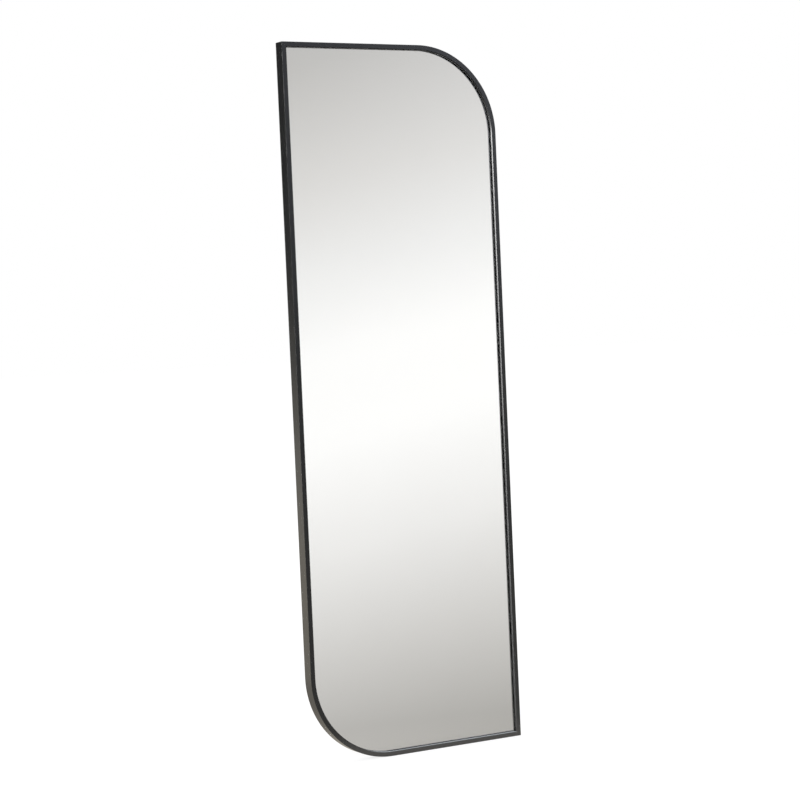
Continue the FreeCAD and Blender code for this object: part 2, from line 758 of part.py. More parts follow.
def build_ring(name, side):
    """A closed D of wire, bent round the knuckle's bore, resting against the board."""
    body = new_body("hanger_ring_%s" % name)
    path = sketch_on(body, "path", "XZ_Plane")
    half = size("ring_half_width")
    bend = size("ring_corner")
    shoulder = size("ring_side")
    vec = FreeCAD.Vector
    w = half.value
    b = bend.value
    s = shoulder.value
    bar = path.addGeometry(Part.LineSegment(vec(-w + b, 0), vec(w - b, 0)))
    low_right = path.addGeometry(arc_by(vec(w - b, b), b, 3, 4))
    right = path.addGeometry(Part.LineSegment(vec(w, b), vec(w, s)))
    bow = path.addGeometry(arc_by(vec(0, s), w, 0, 2))
    left = path.addGeometry(Part.LineSegment(vec(-w, s), vec(-w, b)))
    low_left = path.addGeometry(arc_by(vec(-w + b, b), b, 2, 3))
    for first, first_end, second, second_end in (
        (bar, 2, low_right, 1),
        (low_right, 2, right, 1),
        (right, 2, bow, 1),
        (bow, 2, left, 1),
        (left, 2, low_left, 1),
        (low_left, 2, bar, 1),
    ):
        path.addConstraint(
            Sketcher.Constraint("Tangent", first, first_end, second, second_end)
        )
    path.addConstraint(Sketcher.Constraint("Horizontal", bar))
    pin(path, bow, 3, (ZERO, shoulder))
    bind(path, "Radius", (bow,), half)
    bind(path, "Radius", (low_right,), bend)
    bind(path, "Radius", (low_left,), bend)
    path.addConstraint(Sketcher.Constraint("PointOnObject", bar, 1, -1))
    section = sketch_on(body, "wire", "YZ_Plane")
    polygon(section, wire_corners())
    doc.recompute()
    sweep = body.newObject("PartDesign::AdditivePipe", "%s_sweep" % body.Label)
    sweep.Profile = section
    sweep.Spine = (path, ["Edge%d" % k for k in range(1, 7)])
    body.Placement = FreeCAD.Placement(FreeCAD.Vector(), FreeCAD.Rotation(ACROSS, 1))
    body.setExpression("Placement.Base.x", side_x(side, size("ring_inset")).text)
    body.setExpression("Placement.Base.y", depth_y(RING_AXIS).text)
    body.setExpression("Placement.Base.z", RING_LEVEL.text)
    body.setExpression("Placement.Rotation.Angle", "asin(%s)" % ring_lean().text)
    return body


def ring_lean():
    """Sine of the angle at which the ring's bow comes to rest against the board."""
    room = RING_AXIS - BOARD_BACK - size("ring_wire") - size("ring_rest_gap")
    return room / RING_REACH


def build_hangers():
    """Both hangers: plate, ring and nut bar on each side, and their four screws as one group."""
    screw = build_hanger_screw()
    pieces = []
    links = []
    for name, side in SIDES.items():
        pieces.append(build_hanger_plate(name, side))
        pieces.append(build_ring(name, side))
        pieces.append(build_nut_bar(name, side))
        for k, (x, z) in enumerate(hanger_screw_places(side)):
            links.append(placed("hanger_screw_%s_%d" % (name, k), screw, (x, ZERO, z), 0))
    pieces.append(group("hanger_screws", links))
    return pieces


def build_mirror():
    pieces = [build_rail(label, turn) for label, turn in RAILS.items()]
    gasket_inner = size("face_width") - size("gasket_setback")
    gasket_outer = gasket_inner - size("gasket_width")
    pieces.append(slab("glazing_gasket", [gasket_outer, gasket_inner], size("lip_depth"), GLASS_FRONT))
    pieces.append(slab("mirror_pane", [GLASS_INSET], GLASS_FRONT, GLASS_BACK))
    film_inset = GLASS_INSET + size("film_setback")
    pieces.append(slab("safety_film", [film_inset], GLASS_BACK, FILM_BACK))
    pieces.append(build_tape())
    pieces.append(slab("backing_board", [GLASS_INSET], BOARD_FRONT, BOARD_BACK))
    pieces.append(build_clips())
    block = build_block()
    pieces.append(build_setting_blocks(block))
    pieces.append(build_location_blocks(block))
    set_screw = build_set_screw()
    for name, sign in CORNERS.items():
        pieces.extend(build_corner(name, sign, set_screw))
    pieces.extend(build_hangers())
    return pieces


def check_document(pieces):
    for thing in doc.Objects:
        if "Invalid" in thing.State or "Error" in thing.State:
            raise ValueError("%s failed: %s" % (thing.Name, thing.State))
    for piece in pieces:
        if piece.Shape.isNull() or not piece.Shape.isValid():
            raise ValueError("%s has no valid shape" % piece.Label)


pieces = build_mirror()
doc.recompute()
check_document(pieces)
os.makedirs("parts", exist_ok=True)
for piece in pieces:
    piece.Shape.exportStep("parts/%s.step" % piece.Label)
    print(piece.Label, len(piece.Shape.Solids), round(piece.Shape.Volume, 1))
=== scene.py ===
"""Looks of the full-length wall mirror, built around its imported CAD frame.

Frame: metres, +Z up, the mirror faces -Y and the wall plane is Y = 0. In a rail's section, u runs
inward from the outer face and v runs back from the front face.
"""
import json
import math

import bmesh
import bpy
from mathutils import Matrix, Vector
from mathutils.geometry import tessellate_polygon


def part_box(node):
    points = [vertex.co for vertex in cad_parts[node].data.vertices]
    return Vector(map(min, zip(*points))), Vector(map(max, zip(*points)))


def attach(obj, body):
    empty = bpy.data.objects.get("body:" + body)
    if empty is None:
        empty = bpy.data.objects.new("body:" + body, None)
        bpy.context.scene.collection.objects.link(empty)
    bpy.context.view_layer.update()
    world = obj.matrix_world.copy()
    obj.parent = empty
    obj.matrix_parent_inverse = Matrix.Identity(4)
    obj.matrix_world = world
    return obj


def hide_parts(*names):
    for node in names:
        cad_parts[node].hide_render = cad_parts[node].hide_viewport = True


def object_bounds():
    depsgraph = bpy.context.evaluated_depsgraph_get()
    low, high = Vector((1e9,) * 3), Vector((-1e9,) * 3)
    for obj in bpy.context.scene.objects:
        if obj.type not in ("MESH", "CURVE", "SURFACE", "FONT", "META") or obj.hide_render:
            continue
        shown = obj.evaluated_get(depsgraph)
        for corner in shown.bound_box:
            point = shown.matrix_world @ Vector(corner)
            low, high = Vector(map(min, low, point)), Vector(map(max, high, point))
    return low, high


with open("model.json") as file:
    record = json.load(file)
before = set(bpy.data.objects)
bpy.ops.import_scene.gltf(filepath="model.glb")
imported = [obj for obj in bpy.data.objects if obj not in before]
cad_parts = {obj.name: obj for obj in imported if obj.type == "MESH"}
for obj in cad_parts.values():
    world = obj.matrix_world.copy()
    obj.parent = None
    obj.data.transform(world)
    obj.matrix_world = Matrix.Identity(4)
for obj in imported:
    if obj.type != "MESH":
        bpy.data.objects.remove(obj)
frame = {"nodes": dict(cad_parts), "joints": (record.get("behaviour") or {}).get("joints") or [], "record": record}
cad_low, cad_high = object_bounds()


def depths(node):
    """How far a node's front and back lie behind the frame's front face."""
    low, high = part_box(node)
    return low.y - FRONT_Y, high.y - FRONT_Y


# Sizes of the frame and the pack in it
MM = 0.001
HALF_WIDTH = (cad_high.x - cad_low.x) / 2
HALF_HEIGHT = (cad_high.z - cad_low.z) / 2
FRONT_Y = cad_low.y
DEPTH = cad_high.y - FRONT_Y
BEND = 205 * MM
FACE = 12 * MM
WALL = 1.5 * MM
LEG = 2 * MM
BEVEL = 1.5 * MM
ARRIS = 0.4 * MM
SLOT = 5 * MM
SOFT_EDGE = 0.25 * MM
MITRE_GROOVE = 0.15 * MM
MITRE_GAP = 0.02 * MM
LIP = depths("glazing_gasket")[0]
GLASS_FRONT, GLASS_BACK = depths("mirror_pane")
GLASS_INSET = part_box("mirror_pane")[0].x - cad_low.x
GLASS_POLISH = 0.5 * MM
GLASS_CLEARANCE = 0.03 * MM
BOARD_BACK = depths("backing_board")[1]
CHANNEL_FRONT, SHIM_BACK = depths("corner_shim_top_left")
CHANNEL_BACK = depths("corner_plate_top_left")[1]
CHANNEL_MIDDLE = FACE / 2
SLOT_BACK = CHANNEL_BACK + WALL
WEB_FRONT = CHANNEL_FRONT - WALL

# Sizes of the hangers; the knuckle's turn is in degrees
HANGER_SHEET = 1.5 * MM
HANGER_BACK = SLOT_BACK + HANGER_SHEET
HANGER_DROP = 345 * MM
HANGER_LEVEL = HALF_HEIGHT - HANGER_DROP
HANGER_SCREWS = (-13 * MM, 13 * MM)
HANGER_HOLE = 2.2 * MM
STRIP_HALF = 22 * MM
STRIP_GAP = 0.6 * MM
STRIP_OVERHANG = 1 * MM
ARM_DROP = 12 * MM
TONGUE_HEIGHT = 8 * MM
FREE_CORNER = 2 * MM
INNER_CORNER = 1 * MM
PLATE_EDGE = 0.15 * MM
KNUCKLE_HALF = 7 * MM
KNUCKLE_TURN = 302
RING_X, RING_Y, RING_LEVEL = frame["joints"][0]["pos_m"]
RING_INSET = HALF_WIDTH - abs(RING_X)
RING_AXIS = RING_Y - FRONT_Y
RING_WIRE = 1.5 * MM
RING_HALF = 10.5 * MM
RING_SIDE = 9 * MM
RING_BEND = 3 * MM
RING_REST_GAP = 0.3 * MM

# Sizes of the screws
SCREW_RADIUS = 1.9 * MM
SCREW_POINT = 0.4 * MM
HANGER_SCREW_REACH = 3.5 * MM
HEAD_RADIUS = 3.7 * MM
HEAD_HEIGHT = 2.2 * MM
HEAD_EDGE = 0.3 * MM
SET_SCREW_PROUD = 1 * MM
SET_SCREW_EDGE = 0.35 * MM
SET_SCREWS = (18 * MM, 40 * MM)
HEX_HALF = 1 * MM
HEX_EDGE = 0.12 * MM
HEX_DEPTH = 2 * MM
DRILL_DEPTH = 2.3 * MM
DRILL_TIP = HEX_HALF / 3

# Sizes of the spring clips
CLIP_HALF = 26 * MM
CLIP_WIDTH = 16 * MM
CLIP_SHEET = 0.5 * MM
CLIP_EDGE = 0.12 * MM
CLIP_GAP = 1 * MM
CLIP_PLAY = 0.05 * MM
CLIP_END_NARROWING = (1.2 * MM, 0.35 * MM)
CLIP_ROWS = (-1, -1 / 3, 1 / 3, 1)
CLIP_SIDE_MARGIN = 375 * MM
CLIP_END_MARGIN = 115 * MM

# How finely curves are divided
BEND_STEPS = 64
ARC_STEPS = 4
WIRE_SIDES = 20
RING_BEND_STEPS = 10
RING_BOW_STEPS = 36
KNUCKLE_STEPS = 60
SCREW_SIDES = 48
CLIP_STEPS = 28

# Up to which turn an edge is shaded smooth, in degrees
SMOOTH_TURN = 35
PANE_SMOOTH_TURN = 10
FLUSH_TURN = 20


# Mesh helpers

def link_object(name, mesh):
    piece = bpy.data.objects.new(name, mesh)
    bpy.context.scene.collection.objects.link(piece)
    return piece


def curved_mesh(name, points, faces, normals, flat_faces=()):
    """A new object shaded by its points' normals, apart from faces that stay flat."""
    mesh = bpy.data.meshes.new(name)
    mesh.from_pydata([tuple(p) for p in points], [], faces)
    mesh.shade_smooth()
    corner_normals = []
    for face in mesh.polygons:
        for vertex in face.vertices:
            shown = face.normal if face.index in flat_faces else normals[vertex]
            corner_normals.append(tuple(shown))
    mesh.normals_split_custom_set(corner_normals)
    return link_object(name, mesh)


def solid_mesh(name, points, faces, smooth_turn=SMOOTH_TURN):
    """A new object from closed shells, smooth across edges that turn little."""
    mesh = bpy.data.meshes.new(name)
    mesh.from_pydata([tuple(p) for p in points], [], faces)
    work = bmesh.new()
    work.from_mesh(mesh)
    bmesh.ops.recalc_face_normals(work, faces=work.faces)
    work.to_mesh(mesh)
    work.free()
    mesh.shade_smooth()
    mesh.set_sharp_from_angle(angle=math.radians(smooth_turn))
    return link_object(name, mesh)


def rounded_outline(corners):
    """Points and outward normals of a closed outline whose corners, (u, v, radius), are rounded."""
    count = len(corners)
    area = 0.0
    for k, (u, v, _) in enumerate(corners):
        after = corners[(k + 1) % count]
        area += u * after[1] - after[0] * v
    turning = 1 if area > 0 else -1
    points = []
    normals = []
    for k, (u, v, radius) in enumerate(corners):
        here = Vector((u, v))
        back = (Vector(corners[k - 1][:2]) - here).normalized()
        ahead = (Vector(corners[(k + 1) % count][:2]) - here).normalized()
        convex = turning * (back.y * ahead.x - back.x * ahead.y) > 0
        half = back.angle(ahead) / 2
        middle = here + (back + ahead).normalized() * (radius / math.sin(half))
        start = (here + back * (radius / math.tan(half)) - middle).normalized()
        end = (here + ahead * (radius / math.tan(half)) - middle).normalized()
        for step in range(ARC_STEPS + 1):
            spoke = start.slerp(end, step / ARC_STEPS)
            points.append(middle + spoke * radius)
            normals.append(spoke * (1 if convex else -1))
    return points, normals


def joined_faces(here, ahead):
    """Faces between two rings of point numbers."""
    faces = []
    for k in range(len(here)):
        after = (k + 1) % len(here)
        faces.append((here[k], ahead[k], ahead[after], here[after]))
    return faces


def ring_faces(rings, count, first=0, closed=False):
    """Faces between rings that follow each other, the last also joined to the first if closed."""
    faces = []
    for ring in range(rings if closed else rings - 1):
        here = first + ring * count
        ahead = first + (ring + 1) % rings * count
        faces += joined_faces(range(here, here + count), range(ahead, ahead + count))
    return faces


def shell_faces(rings, count, first=0):
    """Faces between rings that follow each other, and then the two faces over the ends."""
    last = first + (rings - 1) * count
    start = tuple(range(first, first + count))
    end = tuple(reversed(range(last, last + count)))
    return ring_faces(rings, count, first) + [start, end]


def dress(piece, body, node, materials):
    """Puts a piece in the place of its CAD node."""
    for material in materials:
        piece.data.materials.append(material)
    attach(piece, body)
    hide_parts(node)


# Frame rails

def rail_corners():
    """Corners of the extrusion's section with their radii."""
    channel_inner = FACE - WALL
    slot_near = CHANNEL_MIDDLE - SLOT / 2
    slot_far = CHANNEL_MIDDLE + SLOT / 2
    soft_corners = [
        (0, DEPTH),
        (WALL, DEPTH),
        (WALL, SLOT_BACK),
        (slot_near, SLOT_BACK),
        (slot_near, CHANNEL_BACK),
        (WALL, CHANNEL_BACK),
        (WALL, CHANNEL_FRONT),
        (channel_inner, CHANNEL_FRONT),
        (channel_inner, CHANNEL_BACK),
        (slot_far, CHANNEL_BACK),
        (slot_far, SLOT_BACK),
        (FACE, SLOT_BACK),
        (FACE, WEB_FRONT),
        (WALL, WEB_FRONT),
        (WALL, WALL),
        (FACE - LEG, WALL),
        (FACE - LEG, LIP),
        (FACE, LIP),
        (FACE, BEVEL),
        (FACE - BEVEL, 0),
    ]
    return [(u, v, SOFT_EDGE) for u, v in soft_corners] + [(0, 0, ARRIS)]


def bend_angles():
    """Angles round the upper rail's bend, from the top to the side."""
    return [math.pi / 2 * (1 - step / BEND_STEPS) for step in range(BEND_STEPS + 1)]


def bend_place(angle):
    """Where an inset lies at an angle of the upper rail's bend."""
    def place(u):
        reach = BEND - u
        x = HALF_WIDTH - BEND + reach * math.cos(angle)
        z = HALF_HEIGHT - BEND + reach * math.sin(angle)
        return x, z
    return place


def mitre_place(short, at_start):
    """Where an inset lies a little short of a mitre of the upper rail."""
    def place(u):
        if at_start:
            return -HALF_WIDTH + u + short, HALF_HEIGHT - u
        return HALF_WIDTH - u, -HALF_HEIGHT + u + short
    return place


def rail_stations():
    """Along the upper rail: an inset's place, the inward way, the groove and the way out of an end."""
    down = (0.0, -1.0)
    left = (-1.0, 0.0)
    groove_start = MITRE_GROOVE + MITRE_GAP
    stations = [
        (mitre_place(MITRE_GAP, True), down, MITRE_GROOVE, left),
        (mitre_place(groove_start, True), down, 0.0, None),
    ]
    for angle in bend_angles():
        inward = (-math.cos(angle), -math.sin(angle))
        stations.append((bend_place(angle), inward, 0.0, None))
    stations.append((mitre_place(groove_start, False), left, 0.0, None))
    stations.append((mitre_place(MITRE_GAP, False), left, MITRE_GROOVE, down))
    return stations


def build_rail(node, turn, material):
    """A rail swept round its bend, with both ends mitred. turn is 1, or -1 for half round."""
    outline, outline_normals = rounded_outline(rail_corners())
    points = []
    normals = []
    stations = rail_stations()
    for place, inward, groove, end in stations:
        for (u, v), (across, back) in zip(outline, outline_normals):
            x, z = place(u - across * groove)
            normal = Vector((inward[0] * across, back, inward[1] * across))
            if end:
                normal = (normal + Vector((end[0], 0, end[1]))).normalized()
            points.append((turn * x, FRONT_Y + v - back * groove, turn * z))
            normals.append((turn * normal.x, normal.y, turn * normal.z))
    faces = shell_faces(len(stations), len(outline))
    ends = (len(faces) - 2, len(faces) - 1)
    piece = curved_mesh(node + "_finish", points, faces, normals, ends)
    dress(piece, "mirror", node, [material])


# Mirror pane

def leaf_outline(inset, v):
    """The mirror's outline, moved inward, as points at depth v."""
    half = [(inset - HALF_WIDTH, HALF_HEIGHT - inset)]
    half += [bend_place(angle)(inset) for angle in bend_angles()]
    around = half + [(-x, -z) for x, z in half]
    return [(x, FRONT_Y + v, z) for x, z in around]


def build_pane(glass, silvering):
    """Clear glass with polished edges and silver on its back."""
    front = GLASS_FRONT + GLASS_CLEARANCE
    back = GLASS_BACK - GLASS_CLEARANCE
    loops = [
        leaf_outline(GLASS_INSET + GLASS_POLISH, front),
        leaf_outline(GLASS_INSET, front + GLASS_POLISH),
        leaf_outline(GLASS_INSET, back - GLASS_POLISH),
        leaf_outline(GLASS_INSET + GLASS_POLISH, back),
    ]
    points = [point for loop in loops for point in loop]
    faces = shell_faces(len(loops), len(loops[0]))
    piece = solid_mesh("mirror_pane_finish", points, faces, PANE_SMOOTH_TURN)
    dress(piece, "mirror", "mirror_pane", [glass, silvering])
    back_face = piece.data.polygons[len(faces) - 1]
    back_face.material_index = 1


# Hangers

def ring_path():
    """The wire's middle line, as places across and along the ring with their outward ways."""
    bends = [
        (RING_HALF - RING_BEND, RING_BEND, RING_BEND, 270, 90, RING_BEND_STEPS),
        (0.0, RING_SIDE, RING_HALF, 0, 180, RING_BOW_STEPS),
        (-RING_HALF + RING_BEND, RING_BEND, RING_BEND, 180, 90, RING_BEND_STEPS),
    ]
    path = []
    for across, along, radius, start, turn, steps in bends:
        for step in range(steps + 1):
            angle = math.radians(start + turn * step / steps)
            way = (math.cos(angle), math.sin(angle))
            path.append((across + radius * way[0], along + radius * way[1], way))
    return path


def build_hanger_ring(name, side, material):
    """A closed D of round wire, resting against the board."""
    room = RING_AXIS - BOARD_BACK - RING_WIRE - RING_REST_GAP
    lean = math.asin(room / (RING_SIDE + RING_HALF))
    turn = Matrix.Rotation(lean, 3, "X")
    middle = Vector((side * (HALF_WIDTH - RING_INSET), FRONT_Y + RING_AXIS, RING_LEVEL))
    points = []
    normals = []
    path = ring_path()
    for across, along, way in path:
        for k in range(WIRE_SIDES):
            angle = -2 * math.pi * k / WIRE_SIDES
            out = math.cos(angle)
            normal = Vector((way[0] * out, math.sin(angle), way[1] * out))
            place = Vector((across, 0, along)) + normal * RING_WIRE
            points.append(middle + turn @ place)
            normals.append(turn @ normal)
    faces = ring_faces(len(path), WIRE_SIDES, closed=True)
    node = "hanger_ring_" + name
    piece = curved_mesh(node + "_finish", points, faces, normals)
    dress(piece, name + "_ring", node, [material])


def hanger_outline():
    """Points and normals of a hanger plate's outline, which is open at the tongue's end."""
    near = WALL + STRIP_GAP
    far = FACE + STRIP_OVERHANG
    tongue_near = RING_INSET - KNUCKLE_HALF
    tongue_far = RING_INSET + KNUCKLE_HALF
    strip_low = HANGER_LEVEL - STRIP_HALF
    strip_high = HANGER_LEVEL + STRIP_HALF
    arm_low = HANGER_LEVEL - ARM_DROP
    shoulder = RING_LEVEL - TONGUE_HEIGHT
    corners = [
        (tongue_near, RING_LEVEL, INNER_CORNER),
        (tongue_near, shoulder, INNER_CORNER),
        (far, shoulder, INNER_CORNER),
        (far, strip_high, FREE_CORNER),
        (near, strip_high, FREE_CORNER),
        (near, strip_low, FREE_CORNER),
        (far, strip_low, FREE_CORNER),
        (far, arm_low, INNER_CORNER),
        (tongue_far, arm_low, FREE_CORNER),
        (tongue_far, RING_LEVEL, INNER_CORNER),
    ]
    points, normals = rounded_outline(corners)
    # The first and last corners stay square, so their arcs give way to one point each
    arc = ARC_STEPS + 1
    first = Vector((tongue_near, RING_LEVEL))
    last = Vector((tongue_far, RING_LEVEL))
    points = [first] + points[arc:-arc] + [last]
    normals = [Vector((-1, 0))] + normals[arc:-arc] + [Vector((1, 0))]
    return points, normals


def hanger_hole(level):
    """Points of a screw hole's rim in a hanger plate, and normals toward its middle."""
    middle = Vector((CHANNEL_MIDDLE, level))
    points = []
    normals = []
    for k in range(SCREW_SIDES):
        angle = 2 * math.pi * k / SCREW_SIDES
        spoke = Vector((math.cos(angle), math.sin(angle)))
        points.append(middle + spoke * HANGER_HOLE)
        normals.append(-spoke)
    return points, normals


def hanger_face():
    """Points and normals of a plate's outline and holes, and the point numbers of each of these rims."""
    points, normals = hanger_outline()
    rims = [range(len(points))]
    for reach in HANGER_SCREWS:
        hole, hole_normals = hanger_hole(HANGER_LEVEL + reach)
        rims.append(range(len(points), len(points) + len(hole)))
        points += hole
        normals += hole_normals
    return points, normals, rims


def plate_levels():
    """Depths through a hanger plate, and how far its broken edges draw in there."""
    return [
        (SLOT_BACK, PLATE_EDGE),
        (SLOT_BACK + PLATE_EDGE, 0.0),
        (HANGER_BACK - PLATE_EDGE, 0.0),
        (HANGER_BACK, PLATE_EDGE),
    ]


def plate_walls(rims, first, count):
    """Faces from one level of a plate to the next, whose points start at first."""
    faces = []
    for rim in rims:
        here = [first - count + k for k in rim]
        ahead = [first + k for k in rim]
        joined = joined_faces(here, ahead)
        is_open = rim == rims[0]
        faces += joined[:-1] if is_open else joined
    return faces


def build_hanger_plate(name, side, material):
    """A plate over the channel's slot, with an arm whose tongue is rolled round the ring's wire."""
    flat, flat_normals, rims = hanger_face()
    count = len(flat)
    points = []
    walls = []
    for level, (v, inset) in enumerate(plate_levels()):
        if level > 0:
            walls += plate_walls(rims, len(points), count)
        for (u, z), (across, up) in zip(flat, flat_normals):
            x = side * (HALF_WIDTH - u + across * inset)
            points.append((x, FRONT_Y + v, z - up * inset))
    last = len(points) - count
    caps = []
    for triangle in tessellate_polygon([[flat[k].to_3d() / MM for k in rim] for rim in rims]):
        caps.append(tuple(triangle))
        caps.append(tuple(last + k for k in triangle))
    near_edge = list(range(0, len(points), count))
    far_edge = [k + len(rims[0]) - 1 for k in near_edge]
    curl_points, curl = rolled_tongue(side, near_edge + far_edge[::-1], len(points))
    node = "hanger_plate_" + name
    piece = solid_mesh(node + "_finish", points + curl_points, caps + walls + curl)
    keep_flat(piece.data, len(caps))
    dress(piece, "mirror", node, [material])


def rolled_tongue(side, here, first):
    """The tongue's curl round the wire, from the plate's open end to a seam by the plate."""
    levels = plate_levels()
    points = []
    faces = []
    for step in range(1, KNUCKLE_STEPS + 1):
        angle = math.radians(KNUCKLE_TURN * step / KNUCKLE_STEPS)
        ahead = range(first + len(points), first + len(points) + len(here))
        for hand, order in ((-1, levels), (1, levels[::-1])):
            for v, inset in order:
                x = side * (HALF_WIDTH - RING_INSET - hand * (KNUCKLE_HALF - inset))
                y = FRONT_Y + RING_AXIS + (v - RING_AXIS) * math.cos(angle)
                points.append((x, y, RING_LEVEL + (v - RING_AXIS) * math.sin(angle)))
        faces += joined_faces(here, ahead)
        here = ahead
    return points, faces + [tuple(here)]


def keep_flat(mesh, count):
    """Shades the first faces flat, and what runs smoothly into them flush with them."""
    flat = {}
    for face in mesh.polygons[:count]:
        for vertex in face.vertices:
            flat[vertex] = face.normal.copy()
    shown = []
    for loop, corner in zip(mesh.loops, mesh.corner_normals):
        normal = flat.get(loop.vertex_index, corner.vector)
        near = normal.angle(corner.vector) < math.radians(FLUSH_TURN)
        shown.append(tuple(normal if near else corner.vector))
    mesh.normals_split_custom_set(shown)


# Screws

def hexagon_reach(angle, half):
    """From the middle of a hexagon to its outline."""
    sector = math.pi / 3
    return half / math.cos(angle % sector - sector / 2)


def screw_points(x, z, profile):
    """Rings of a screw at a place; the profile's rings are (round or hexagon, size, depth)."""
    points = []
    for shape, reach, v in profile:
        for k in range(SCREW_SIDES):
            angle = 2 * math.pi * k / SCREW_SIDES
            radius = reach if shape == "round" else hexagon_reach(angle, reach)
            points.append((x + radius * math.cos(angle), FRONT_Y + v, z + radius * math.sin(angle)))
    return points


def socket_rings(back):
    """A hexagon socket with a drill point, from the screw's end inward."""
    return [
        ("hexagon", HEX_HALF + HEX_EDGE, back),
        ("hexagon", HEX_HALF, back - HEX_EDGE),
        ("hexagon", HEX_HALF, back - HEX_DEPTH),
        ("round", DRILL_TIP, back - DRILL_DEPTH),
    ]


def build_screws(node, places, profile, material):
    points = []
    faces = []
    for x, z in places:
        faces += shell_faces(len(profile), SCREW_SIDES, len(points))
        points += screw_points(x, z, profile)
    piece = solid_mesh(node + "_finish", points, faces)
    dress(piece, "mirror", node, [material])


def build_hanger_screws(material):
    """Low cap-head screws with hexagon sockets."""
    tip = CHANNEL_BACK - HANGER_SCREW_REACH
    back = HANGER_BACK + HEAD_HEIGHT
    profile = [
        ("round", SCREW_RADIUS - SCREW_POINT, tip),
        ("round", SCREW_RADIUS, tip + SCREW_POINT),
        ("round", SCREW_RADIUS, HANGER_BACK),
        ("round", HEAD_RADIUS, HANGER_BACK),
        ("round", HEAD_RADIUS, back - HEAD_EDGE),
        ("round", HEAD_RADIUS - HEAD_EDGE, back),
    ]
    places = []
    for side in (-1, 1):
        for reach in HANGER_SCREWS:
            places.append((side * (HALF_WIDTH - CHANNEL_MIDDLE), HANGER_LEVEL + reach))
    build_screws("hanger_screws", places, profile + socket_rings(back), material)


def build_corner_screws(name, sign, material):
    """Headless screws with hexagon sockets, in a corner plate. sign is -1 for half round."""
    back = CHANNEL_BACK + SET_SCREW_PROUD
    profile = [
        ("round", SCREW_RADIUS - SCREW_POINT, SHIM_BACK),
        ("round", SCREW_RADIUS, SHIM_BACK + SCREW_POINT),
        ("round", SCREW_RADIUS, back - SET_SCREW_EDGE),
        ("round", SCREW_RADIUS - SET_SCREW_EDGE, back),
    ]
    places = []
    for away in SET_SCREWS:
        places.append((sign * (away - HALF_WIDTH), sign * (HALF_HEIGHT - CHANNEL_MIDDLE)))
        places.append((sign * (CHANNEL_MIDDLE - HALF_WIDTH), sign * (HALF_HEIGHT - away)))
    build_screws("corner_screws_" + name, places, profile + socket_rings(back), material)


# Spring clips

def clip_spots():
    """Each clip's middle along its rail, and its rail."""
    level = HALF_HEIGHT - CLIP_SIDE_MARGIN
    by_corner = HALF_WIDTH - CLIP_END_MARGIN
    by_bend = HALF_WIDTH - BEND - CLIP_END_MARGIN
    spots = []
    for row in CLIP_ROWS:
        spots.append((level * row, "left"))
        spots.append((level * row, "right"))
    for along in (-by_corner, by_bend):
        spots.append((along, "top"))
        spots.append((-along, "bottom"))
    return spots


def on_rail(rail, along, inward):
    """X and Z of a place along a rail and inward from its outer face."""
    if rail == "left":
        return inward - HALF_WIDTH, along
    if rail == "right":
        return HALF_WIDTH - inward, along
    if rail == "top":
        return along, HALF_HEIGHT - inward
    return along, inward - HALF_HEIGHT


def clip_section(step):
    """Corners of a clip's strip at a step along it, as places inward and up from its lower face."""
    near = WALL + CLIP_GAP
    far = near + CLIP_WIDTH
    section = [
        (near + CLIP_EDGE, 0.0),
        (far - CLIP_EDGE, 0.0),
        (far, CLIP_EDGE),
        (far, CLIP_SHEET - CLIP_EDGE),
        (far - CLIP_EDGE, CLIP_SHEET),
        (near + CLIP_EDGE, CLIP_SHEET),
        (near, CLIP_SHEET - CLIP_EDGE),
        (near, CLIP_EDGE),
    ]
    from_end = min(step, CLIP_STEPS - step)
    if from_end >= len(CLIP_END_NARROWING):
        return section
    least = near + CLIP_END_NARROWING[from_end] + CLIP_EDGE
    most = far - CLIP_END_NARROWING[from_end] - CLIP_EDGE
    return [(min(max(inward, least), most), lift) for inward, lift in section]


def build_clips(material):
    """Bowed strips of spring steel between the board and the rails' web."""
    bow = WEB_FRONT - CLIP_PLAY - CLIP_SHEET - BOARD_BACK
    radius = (CLIP_HALF**2 + bow**2) / (2 * bow)
    half_turn = math.asin(CLIP_HALF / radius)
    sections = [clip_section(step) for step in range(CLIP_STEPS + 1)]
    points = []
    faces = []
    for middle, rail in clip_spots():
        faces += shell_faces(len(sections), len(sections[0]), len(points))
        for step, section in enumerate(sections):
            angle = half_turn * (2 * step / CLIP_STEPS - 1)
            for inward, lift in section:
                reach = radius + lift
                x, z = on_rail(rail, middle + reach * math.sin(angle), inward)
                v = BOARD_BACK + bow - radius + reach * math.cos(angle)
                points.append((x, FRONT_Y + v, z))
    piece = solid_mesh("spring_clips_finish", points, faces)
    dress(piece, "mirror", "spring_clips", [material])


# Shader helpers

# Between these two values lies most of a noise
NOISE_LOW = 0.3
NOISE_HIGH = 0.7

# Numbers of the Mix node's colour sockets, whose names it uses more than once
MIX_FIRST = 6
MIX_SECOND = 7
MIX_RESULT = 2


def add_node(tree, kind, inputs=None, **settings):
    """A new node whose inputs are set to a value or joined to a socket."""
    made = tree.nodes.new(kind)
    for name, value in settings.items():
        setattr(made, name, value)
    for name, value in (inputs or {}).items():
        if isinstance(value, bpy.types.NodeSocket):
            tree.links.new(value, made.inputs[name])
        else:
            made.inputs[name].default_value = value
    return made


def first_output(tree, kind, inputs=None, **settings):
    """The first output of a new node."""
    return add_node(tree, kind, inputs, **settings).outputs[0]


def calculate(tree, operation, first, second):
    return first_output(tree, "ShaderNodeMath", {0: first, 1: second}, operation=operation)


def rise(tree, value, over, to=(0.0, 1.0)):
    """A value that runs through its range while another runs through the range over."""
    ends = {"From Min": over[0], "From Max": over[1], "To Min": to[0], "To Max": to[1]}
    return add_node(tree, "ShaderNodeMapRange", {"Value": value, **ends}).outputs["Result"]


